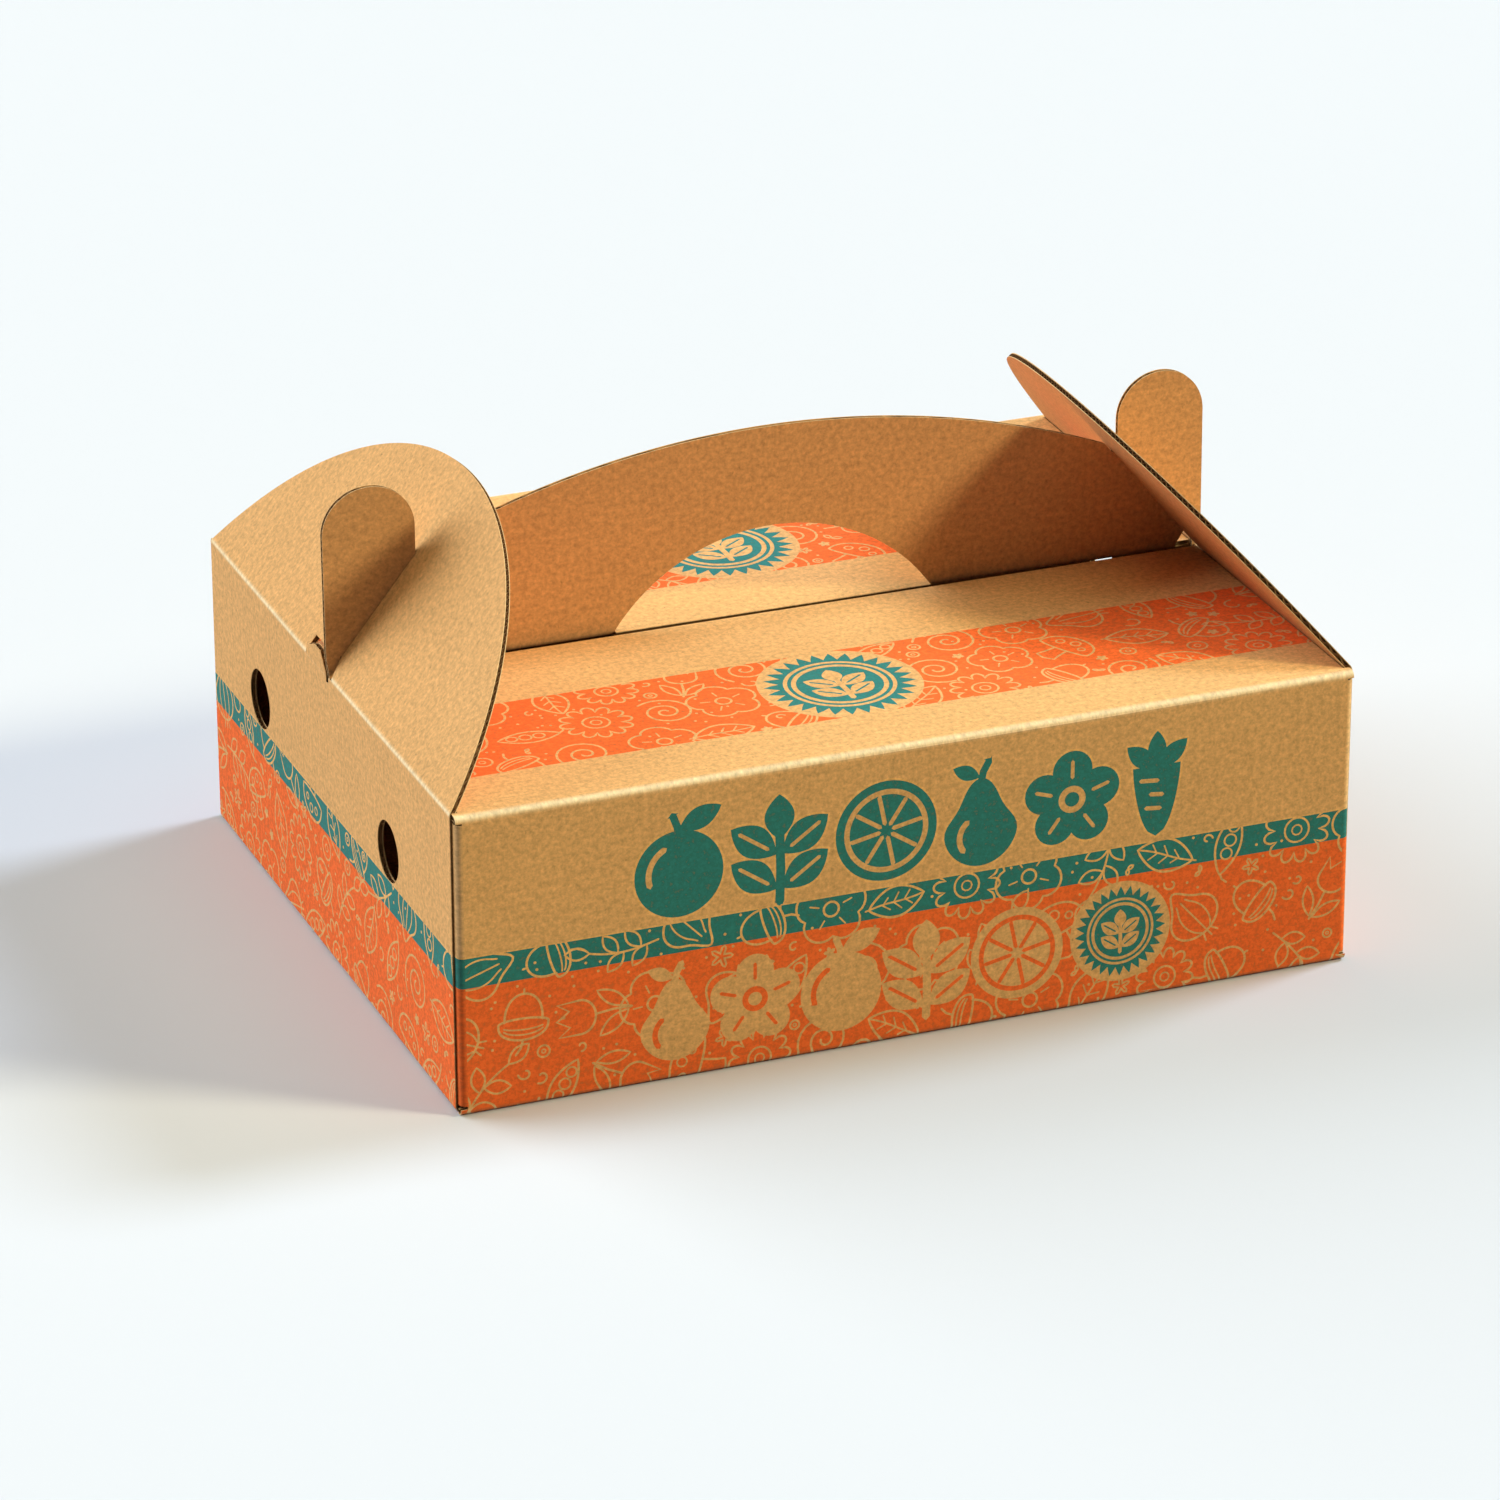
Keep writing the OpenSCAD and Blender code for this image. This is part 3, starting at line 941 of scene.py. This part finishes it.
def bandMarks(band, rosette, seed, width):
    x, y, radius, halo = printing[rosette]
    return patternMarks(width, *printing[band], seed) + rosetteMarks(np.array([x, y]), radius, halo)


def printedInk(areas):
    # each area: lengths it covers, its maps to and from print coordinates, its ground, the
    # marks that show only on the ground's ink, and the free marks that show anywhere
    def ink(s, w):
        p = np.stack([s, w], 1)
        result = np.zeros(len(s), int)
        for area in areas:
            inside = np.flatnonzero((s > area["from"]) & (s < area["to"]))
            q = area["toPrint"](p[inside])
            ground = area["ground"](q)
            over = inkOf(area["marks"], q, ground.copy())
            painted = np.where((ground > 0) | (over >= 2), over, ground)
            painted = np.where((ground == 2) & (over == 0), 3, painted)
            result[inside] = inkOf(area["free"], q, painted)
        return inkWeights[result]
    return ink


def printedLines(areas, w0, w1):
    lines = []
    for area in areas:
        low, high = area["span"]
        for line in markLines(area["marks"] + area["free"]):
            if ((line[:, 1] > low - 1) & (line[:, 1] < high + 1)).any():
                lines.append(area["fromPrint"](line))
        for q in area["levels"]:
            lines.append(area["fromPrint"](np.array([(w0, q), (w1, q)])))
    return lines


wallWidth = 2 * cornerX


def wallArea(first, last, maps, seed):
    return {"from": first, "to": last, **maps, "ground": wallGround,
            "marks": longWallMarks(seed, wallWidth), "free": tealShapeMarks(),
            "levels": wallLevels(), "span": (0, topHeight)}


def bandArea(first, last, maps, band, rosette, seed):
    return {"from": first, "to": last, **maps, "ground": bandGround(band),
            "marks": bandMarks(band, rosette, seed, wallWidth), "free": [],
            "levels": list(printing[band]), "span": printing[band]}


frontOrigin = longStart[2] + topHeight - foldOuter
rearOrigin = longStart[8] + halfDepth - foldOuter
frontArea = wallArea(longStart[1], longStart[4], printMaps(frontOrigin, -1, 1), 11)
backArea = wallArea(longStart[5], longStart[8], printMaps(longStart[6] - foldOuter, 1, -1), 37)
topArea = bandArea(0, longStart[1] - printing["foldClear"], printMaps(innerEdge, -1, 1),
                   "topBand", "topRosette", 23)
rearArea = bandArea(longStart[8] + printing["foldClear"], longEnd, printMaps(rearOrigin, -1, 1),
                    "rearBand", "rearRosette", 41)


def longPiece(s0, s1, areas, layer):
    # one layer of the long strip between two lengths
    lines = [line for line in longLines() if line[:, 0].max() >= s0 and line[:, 0].min() <= s1]
    lines += rows([s0, s1], -cornerX, cornerX)
    if layer == "outer":
        lines += printedLines(areas, -cornerX, cornerX)
    keep = lambda s, x: longKeep(s, x) & (s > s0) & (s < s1)
    return layerShell(layer, lines, keep, longPlace, longMap, 0,
                      rows(waveRows(s0, s1), -cornerX, cornerX), longFold, printedInk(areas),
                      gridSpots(s0, s1, -panelX, panelX, board["spacing"]))


# The end strips: from the base round the bottom fold, up the end wall and over into the flap

flapTurn = 90 - flaps["lean"]
creaseLift = thick / 2 * math.tan(math.radians(flapTurn) / 2)
endPath = foldedPath((baseX, thick / 2), 0,
                     [halfLength - thick / 2 - baseX, topHeight - creaseLift - thick / 2,
                      2 * flaps["rise"]], [90, flapTurn])
endStart = endPath[:, 0]
wallFrom = endStart[2] - foldOuter
flapFrom = endStart[4] - midRadius * math.tan(math.radians(flapTurn) / 2) - creaseLift
flapHalf = wallY - flaps["setback"]
flapRadius = (flapHalf ** 2 + flaps["rise"] ** 2) / (2 * flaps["rise"])
flapCentre = flapFrom + flaps["rise"] - flapRadius
notchAt = wallFrom + topHeight - handle["footDrop"] - handle["slitFit"]
earEdge = flaps["earLength"] + handle["slitFit"]
earCut = flapFrom + flaps["earHeight"] + handle["slitFit"]
ventAt = [(wallFrom + walls["ventHeight"], walls["ventShift"] + side * walls["ventPitch"] / 2)
          for side in (-1, 1)]
ventRadius = walls["ventDiameter"] / 2
flapTip = flapFrom + flaps["rise"]
slitEnd = flapFrom + flaps["slitLength"]
lipLine = np.array([(flapFrom + flaps["lipHeight"], slitFront), (flapFrom, slitFront - flaps["lipWidth"])])


def endKeep(s, y):
    wall = (s > 0) & (s < flapFrom) & (np.abs(y) < wallY)
    flap = (s >= flapFrom) & ((s - flapCentre) ** 2 + y ** 2 < flapRadius ** 2)
    slit = (y > slitFront) & (y < slitBack) & (s > notchAt) & (s < slitEnd)
    ear = (y > slitBack) & (y < earEdge) & (s > endStart[3]) & (s < earCut)
    lipWidth = flaps["lipWidth"] * (1 - (s - flapFrom) / flaps["lipHeight"])
    lip = ((y > slitFront - lipWidth) & (y < slitFront + 0.01)
           & (s > flapFrom) & (s < flapFrom + flaps["lipHeight"]))
    vents = np.any([(s - a) ** 2 + (y - b) ** 2 < ventRadius ** 2 for a, b in ventAt], axis=0)
    return (wall | flap) & ~slit & ~ear & ~lip & ~vents


def endLines():
    lines = rows([0, flapFrom] + foldRows(endPath), -wallY, wallY)
    lines += rows([notchAt], slitFront, slitBack) + rows([earCut], slitBack, earEdge)
    lines += rows([slitEnd], slitFront, slitBack)
    lines += columns([-wallY, wallY], 0, flapFrom)
    lines += columns([slitFront, slitBack], notchAt, slitEnd)
    lines += columns([earEdge], endStart[3], earCut) + [lipLine]
    reach = math.degrees(math.asin(flapHalf / flapRadius))
    lines.append(arc((flapCentre, 0), flapRadius, -reach, reach, 96))
    return lines + [circle(at, ventRadius, 48) for at in ventAt]


endFold = lambda s: foldShare(endPath, s)
endMap = lambda s, y: np.stack([s, y], 1)


def endShell(layer, mirror, seed=0):
    # the seed sets the pattern, which only the outer layer carries
    lines, ink = endLines(), None
    if layer == "outer":
        area = {"from": 0, "to": endStart[3], **printMaps(wallFrom, 1, -1 if mirror else 1),
                "ground": wallGround, "marks": patternMarks(2 * wallY, 0.0, printing["tealTop"], seed),
                "free": [], "levels": wallLevels(), "span": (0, printing["tealTop"])}
        lines += printedLines([area], -wallY, wallY)
        ink = printedInk([area])
    return layerShell(layer, lines, endKeep, stripPlace(endPath, "y", mirrorX=mirror), endMap, 1,
                      columns(waveRows(-wallY, wallY), 0, flapTip), endFold, ink,
                      gridSpots(endStart[2], flapTip, -wallY, wallY, board["spacing"] / 2))


# The ear that stands up behind each slit, in the plane of the end wall

earPath = foldedPath((halfLength - thick / 2, 0), 90, [topHeight], [])
earLength, earHeight = flaps["earLength"], flaps["earHeight"]
earFoot = topHeight - creaseLift - midRadius * math.tan(math.radians(flapTurn) / 2)
earOutline = np.array([(earFoot, slitBack), (earFoot, earLength), (topHeight - thick / 2, earLength),
                       (topHeight + earHeight / 2, earLength * 0.92),
                       (topHeight + earHeight, earLength / 2), (topHeight + earHeight, earLength / 5),
                       (topHeight, slitBack)])


def earShell(layer, mirror):
    place = stripPlace(earPath, "y", mirrorX=mirror)
    outline = areaMark(earOutline, 0)
    keep = lambda s, y: inMark(outline, np.stack([s, y], 1))
    waves = columns(waveRows(slitBack, earLength), earFoot, topHeight + earHeight)
    return layerShell(layer, [closed(earOutline)], keep, place, endMap, 1, waves)


# The handle: it turns up from the rear top panel into the arch and the two tongues

handlePath = foldedPath((handle["y"] + midRadius, midTop), 180, [midRadius, 2 * handle["rise"]], [-90])
handleStart = handlePath[:, 0]
upFrom = handleStart[2] - board["foldInner"]  # length at the height of the top panels
seat = flaps["slitLength"] - handle["slitFit"]
lean = math.radians(flaps["lean"])
tongueIn = halfLength - seat * math.cos(lean) + handle["slitFit"] * math.sin(lean)
tongueOut = halfLength + handle["tongueOver"]
tongueRadius = (tongueOut - tongueIn) / 2
archSag = handle["rise"] - seat * math.sin(lean)
archRadius = (tongueIn ** 2 + archSag ** 2) / (2 * archSag)
gripRadius = (gripX ** 2 + handle["gripHeight"] ** 2) / (2 * handle["gripHeight"])
footIn = panelX + handle["slitFit"]
foldEnd = footIn - handle["reliefWidth"]
reliefHeight, footDrop = handle["reliefHeight"], handle["footDrop"]
lap = 2.0       # pieces of the outline that are joined overlap by this much
footTaper = 1.0
relief = np.array([(foldEnd, -footDrop - lap), (footIn, -footDrop - lap), (footIn, 0),
                   (footIn - handle["reliefWidth"] / 3, reliefHeight), (foldEnd, board["foldInner"])])
foot = np.array([(footIn, reliefHeight), (footIn, -footDrop), (halfLength - footTaper, -footDrop),
                 (tongueOut, reliefHeight)])
slotWidth = thick + 2 * handle["slitFit"]
slotAxis, slotSide = direction(math.pi - lean), leftOf(math.pi - lean)
slotCorner = np.array([halfLength, 0]) + seat * slotAxis - handle["slitFit"] * slotSide
slotTip = slotCorner + flaps["rise"] * slotAxis
slot = np.array([slotCorner, slotTip, slotTip + slotWidth * slotSide, slotCorner + slotWidth * slotSide])
tongueMiddle = tongueIn + tongueRadius
tongueTop = handle["tongueRise"] - tongueRadius  # where the round top begins


def handleKeep(s, x):
    h, x = s - upFrom, np.abs(x)
    p = np.stack([x, h], 1)
    inside = lambda outline: inMark(areaMark(outline, 0), p)
    disc = lambda x0, h0, radius: (x - x0) ** 2 + (h - h0) ** 2 < radius ** 2
    arch = (x < tongueIn) & disc(0, handle["rise"] - archRadius, archRadius) & (h > 0)
    bar = (x < foldEnd) & (h < lap) & (s > 0)
    tongue = (x > tongueIn - lap) & (x < tongueOut) & (h > 0) & (h < handle["rise"] - archSag)
    tongue |= (x > tongueIn) & (x < tongueOut) & (h > 0) & (h < tongueTop)
    tongue |= disc(tongueMiddle, tongueTop, tongueRadius) | inside(foot)
    grip = disc(0, handle["gripHeight"] - gripRadius, gripRadius) & (h > 0)
    grip |= (x < gripX) & (h <= 0)
    # below the relief's height the tongue's outer edge slopes in to the foot
    slope = (tongueOut - halfLength + footTaper) / (reliefHeight + footDrop)
    outward = (x > foldEnd) & (h > 0) & (h < reliefHeight) & (x > tongueOut - (reliefHeight - h) * slope)
    return (arch | bar | tongue) & ~grip & ~inside(slot) & ~inside(relief) & ~outward


def handleLines():
    reach = math.degrees(math.asin(tongueIn / archRadius))
    gripReach = math.degrees(math.asin(gripX / gripRadius))
    below = -5.0  # just past the fold's lower edge
    vertical = [(tongueOut, 0, tongueTop), (tongueIn, 0, 2 * tongueTop), (gripX, below, 0),
                (foldEnd, below, lap)]
    upright = mirroredX([closed(relief), closed(foot), closed(slot),
                         circle((tongueMiddle, tongueTop), tongueRadius, 72)]
                        + [np.array([(x, h0), (x, h1)], float) for x, h0, h1 in vertical])
    upright.append(arc((0, handle["rise"] - archRadius), archRadius, 90 - reach, 90 + reach, 96))
    upright.append(arc((0, handle["gripHeight"] - gripRadius), gripRadius,
                       90 - gripReach, 90 + gripReach, 56))
    upright += [np.array([(-tongueOut, h), (tongueOut, h)]) for h in (0.0, lap)]
    lines = [np.stack([line[:, 1] + upFrom, line[:, 0]], 1) for line in upright]
    return lines + rows([0] + foldRows(handlePath)[1:], -foldEnd, foldEnd)


footPath = foldedPath((handle["y"], midTop + midRadius - handleStart[2]), 90, [2 * handle["rise"]], [])


def handlePlace(s, x, off):
    # past the relief cut the board stays upright below the fold
    folded = stripPlace(handlePath, "x")(s, x, off)
    upright = stripPlace(footPath, "x")(s, x, off)
    return np.where((np.abs(x) > foldEnd + 0.01)[:, None], upright, folded)


def handleShell(layer):
    top = upFrom + handle["rise"]
    past = 1.0  # the medium's lines run this far past the board
    fluteLines = rows(waveRows(upFrom - footDrop, top + past), -tongueOut - past, tongueOut + past)
    # extra columns let the flutes follow the panel's bow
    fluteLines += columns(np.arange(-150, 151, 30), handleStart[2] + past, top + past)
    return layerShell(layer, handleLines(), handleKeep, handlePlace, longMap, 0, fluteLines,
                      lambda s: foldShare(handlePath, s), None,
                      gridSpots(handleStart[2] + 6, top, -tongueOut, tongueOut, board["spacing"] / 2))


# Corner folds of the long walls and the glued tabs behind the end walls

tabStep = walls["tabStep"]
tabReach = (walls["tabLength"] - thick / 2 - tabStep["before"]
            - tabStep["length"] * math.cos(math.radians(tabStep["angle"])))
tabPath = foldedPath((wallX, thick / 2 - halfDepth), 0,
                     [cornerX - thick / 2 - wallX, tabStep["before"], tabStep["length"], tabReach],
                     [90, tabStep["angle"], -tabStep["angle"]])
tabLow, tabHigh = foldOuter + walls["tabGap"], topHeight - thick - walls["tabGap"]
tabEnd = tabPath[-1, 0] + tabReach - 0.3
cornerPast = 5.0  # length at which the corner fold is over and only the tab's own steps follow


def tabShells(layer):
    keep = lambda s, z: (s > 0) & (s < tabEnd) & (z > tabLow) & (z < tabHigh)
    steps = 3 if layer == "medium" else board["foldSteps"]
    lines = rows([0, tabEnd] + foldRows(tabPath, steps), tabLow, tabHigh)
    lines += columns([tabLow, tabHigh], 0, tabEnd)
    if layer == "outer":
        lines += columns([q for q in wallLevels() if q > tabLow], 0, tabEnd)
    ink = lambda s, z: inkWeights[wallGround(np.stack([s, z], 1))]
    # a weak painted fold highlight, only on the corner fold
    fold = lambda s: 0.25 * foldShare(tabPath, s) * (s < cornerPast)
    mapOf = lambda s, z: np.stack([s + wallX, z], 1)
    flutes = columns(waveRows(tabLow, tabHigh), 0, tabEnd)
    return [layerShell(layer, lines, keep, stripPlace(tabPath, "z", mirrorX, mirrorY), mapOf, 1, flutes,
                       fold, ink if layer == "outer" else None)
            for mirrorX in (False, True) for mirrorY in (False, True)]


# The pieces. The outer liner is in one piece for each side.

for side, first, last, areas in (("front", 0, longStart[4], [topArea, frontArea]),
                                 ("base", longStart[4], longStart[5], []),
                                 ("back", longStart[5], longEnd, [backArea, rearArea])):
    makePiece("outer_liner_" + side, [longPiece(first, last, areas, "outer")], outerPaper)
makePiece("outer_liner_handle", [handleShell("outer")], outerPaper)
for side, mirror, seed in (("right", False, 51), ("left", True, 67)):
    makePiece(f"outer_liner_{side}_end", [endShell("outer", mirror, seed), earShell("outer", mirror)],
              outerPaper)
makePiece("outer_liner_tabs", tabShells("outer"), outerPaper)
for layer, material, title in (("inner", innerPaper, "inner_liner"), ("medium", shadedMediumPaper, "fluting")):
    makePiece(title + "_body", [longPiece(0, longEnd, [], layer)] + tabShells(layer), material)
    makePiece(title + "_handle", [handleShell(layer)], material)
    makePiece(title + "_ends", [make(layer, mirror) for mirror in (False, True)
                                for make in (endShell, earShell)], material)


# Floor, light and camera

studio = {
    "floor": (0.64, 0.71, 0.88),            # as the camera sees it
    "floorBounce": (0.27, 0.235, 0.20),     # as it lights the carton from below
    "floorReach": 6.0,
    "sky": 0.02,
    "lamps": {
        "key": {"azimuth": 57, "height": 29, "spread": 13, "level": 0.77, "colour": (1.0, 0.86, 0.50)},
        "side": {"azimuth": 100, "height": 42, "spread": 16, "level": 0.60, "colour": (0.86, 0.95, 1.0)},
        "back": {"azimuth": 225, "height": 22, "spread": 55, "level": 1.0, "colour": (1.0, 0.98, 0.88)},
        "top": {"azimuth": 0, "height": 90, "spread": 60, "level": 0.26, "colour": (1.0, 0.86, 0.52)},
    },
    "camera": {"azimuth": -21.424, "elevation": 23.864, "roll": -0.228, "lens": 173.56,
               "place": (-0.94461, -2.38668, 1.19338)},
}


def addFloor():
    mesh = bpy.data.meshes.new("floor")
    reach = studio["floorReach"]
    corners = [(-reach, -reach, 0), (reach, -reach, 0), (reach, reach, 0), (-reach, reach, 0)]
    mesh.from_pydata(corners, [], [(0, 1, 2, 3)])
    floor = bpy.data.objects.new("floor", mesh)
    floor.location.z = -0.0003  # just under the carton
    bpy.context.scene.collection.objects.link(floor)
    material = bpy.data.materials.new("paleFloor")
    material.use_nodes = True
    tree = material.node_tree
    shader = tree.nodes["Principled BSDF"]
    rays = tree.nodes.new("ShaderNodeLightPath")
    colour = mixColour(tree, rays.outputs["Is Camera Ray"], (*studio["floorBounce"], 1.0),
                       (*studio["floor"], 1.0))
    tree.links.new(colour, shader.inputs["Base Color"])
    shader.inputs["Roughness"].default_value = 0.9
    mesh.materials.append(material)


def addLamp(name, azimuth, height, spread, level, colour):
    # a far, wide lamp; azimuth runs from the front towards the right end, and a strength of
    # pi gives level 1 on a surface that faces it
    lamp = bpy.data.lights.new(name, "SUN")
    lamp.angle = math.radians(spread)
    lamp.energy = level * math.pi
    lamp.color = colour
    holder = bpy.data.objects.new(name, lamp)
    bpy.context.scene.collection.objects.link(holder)
    holder.rotation_euler = (math.radians(90 - height), 0, math.radians(azimuth))


def addWorld():
    # even light all round; the camera, glossy and clear rays see white
    world = bpy.data.worlds.new("studioWorld")
    world.use_nodes = True
    tree = world.node_tree
    background = tree.nodes["Background"]
    rays = tree.nodes.new("ShaderNodeLightPath")
    seen = mathNode(tree, "MAXIMUM", rays.outputs["Is Camera Ray"], rays.outputs["Is Glossy Ray"])
    seen = mathNode(tree, "MAXIMUM", seen, rays.outputs["Is Transmission Ray"])
    background.inputs["Color"].default_value = (1, 1, 1, 1)
    tree.links.new(remap(tree, seen, 0.0, 1.0, studio["sky"], 1.0), background.inputs["Strength"])
    bpy.context.scene.world = world


def addCamera():
    shot = studio["camera"]
    az, el, roll = (math.radians(shot[key]) for key in ("azimuth", "elevation", "roll"))
    back = Vector((math.sin(az) * math.cos(el), -math.cos(az) * math.cos(el), math.sin(el)))
    right = Vector((0, 0, 1)).cross(back).normalized()
    up = back.cross(right)
    side = right * math.cos(roll) + up * math.sin(roll)
    rise = up * math.cos(roll) - right * math.sin(roll)
    data = bpy.data.cameras.new("camera")
    data.lens = shot["lens"]
    data.sensor_width = 36
    data.clip_start, data.clip_end = 0.1, 30
    camera = bpy.data.objects.new("camera", data)
    bpy.context.scene.collection.objects.link(camera)
    turn = Matrix((side, rise, back)).transposed().to_4x4()
    camera.matrix_world = Matrix.Translation(shot["place"]) @ turn
    bpy.context.scene.camera = camera


addFloor()
addWorld()
for name, lamp in studio["lamps"].items():
    addLamp(name + "Lamp", **lamp)
addCamera()
bpy.context.scene.view_settings.view_transform = "Standard"
print("studio ready")

bpy.context.view_layer.update()
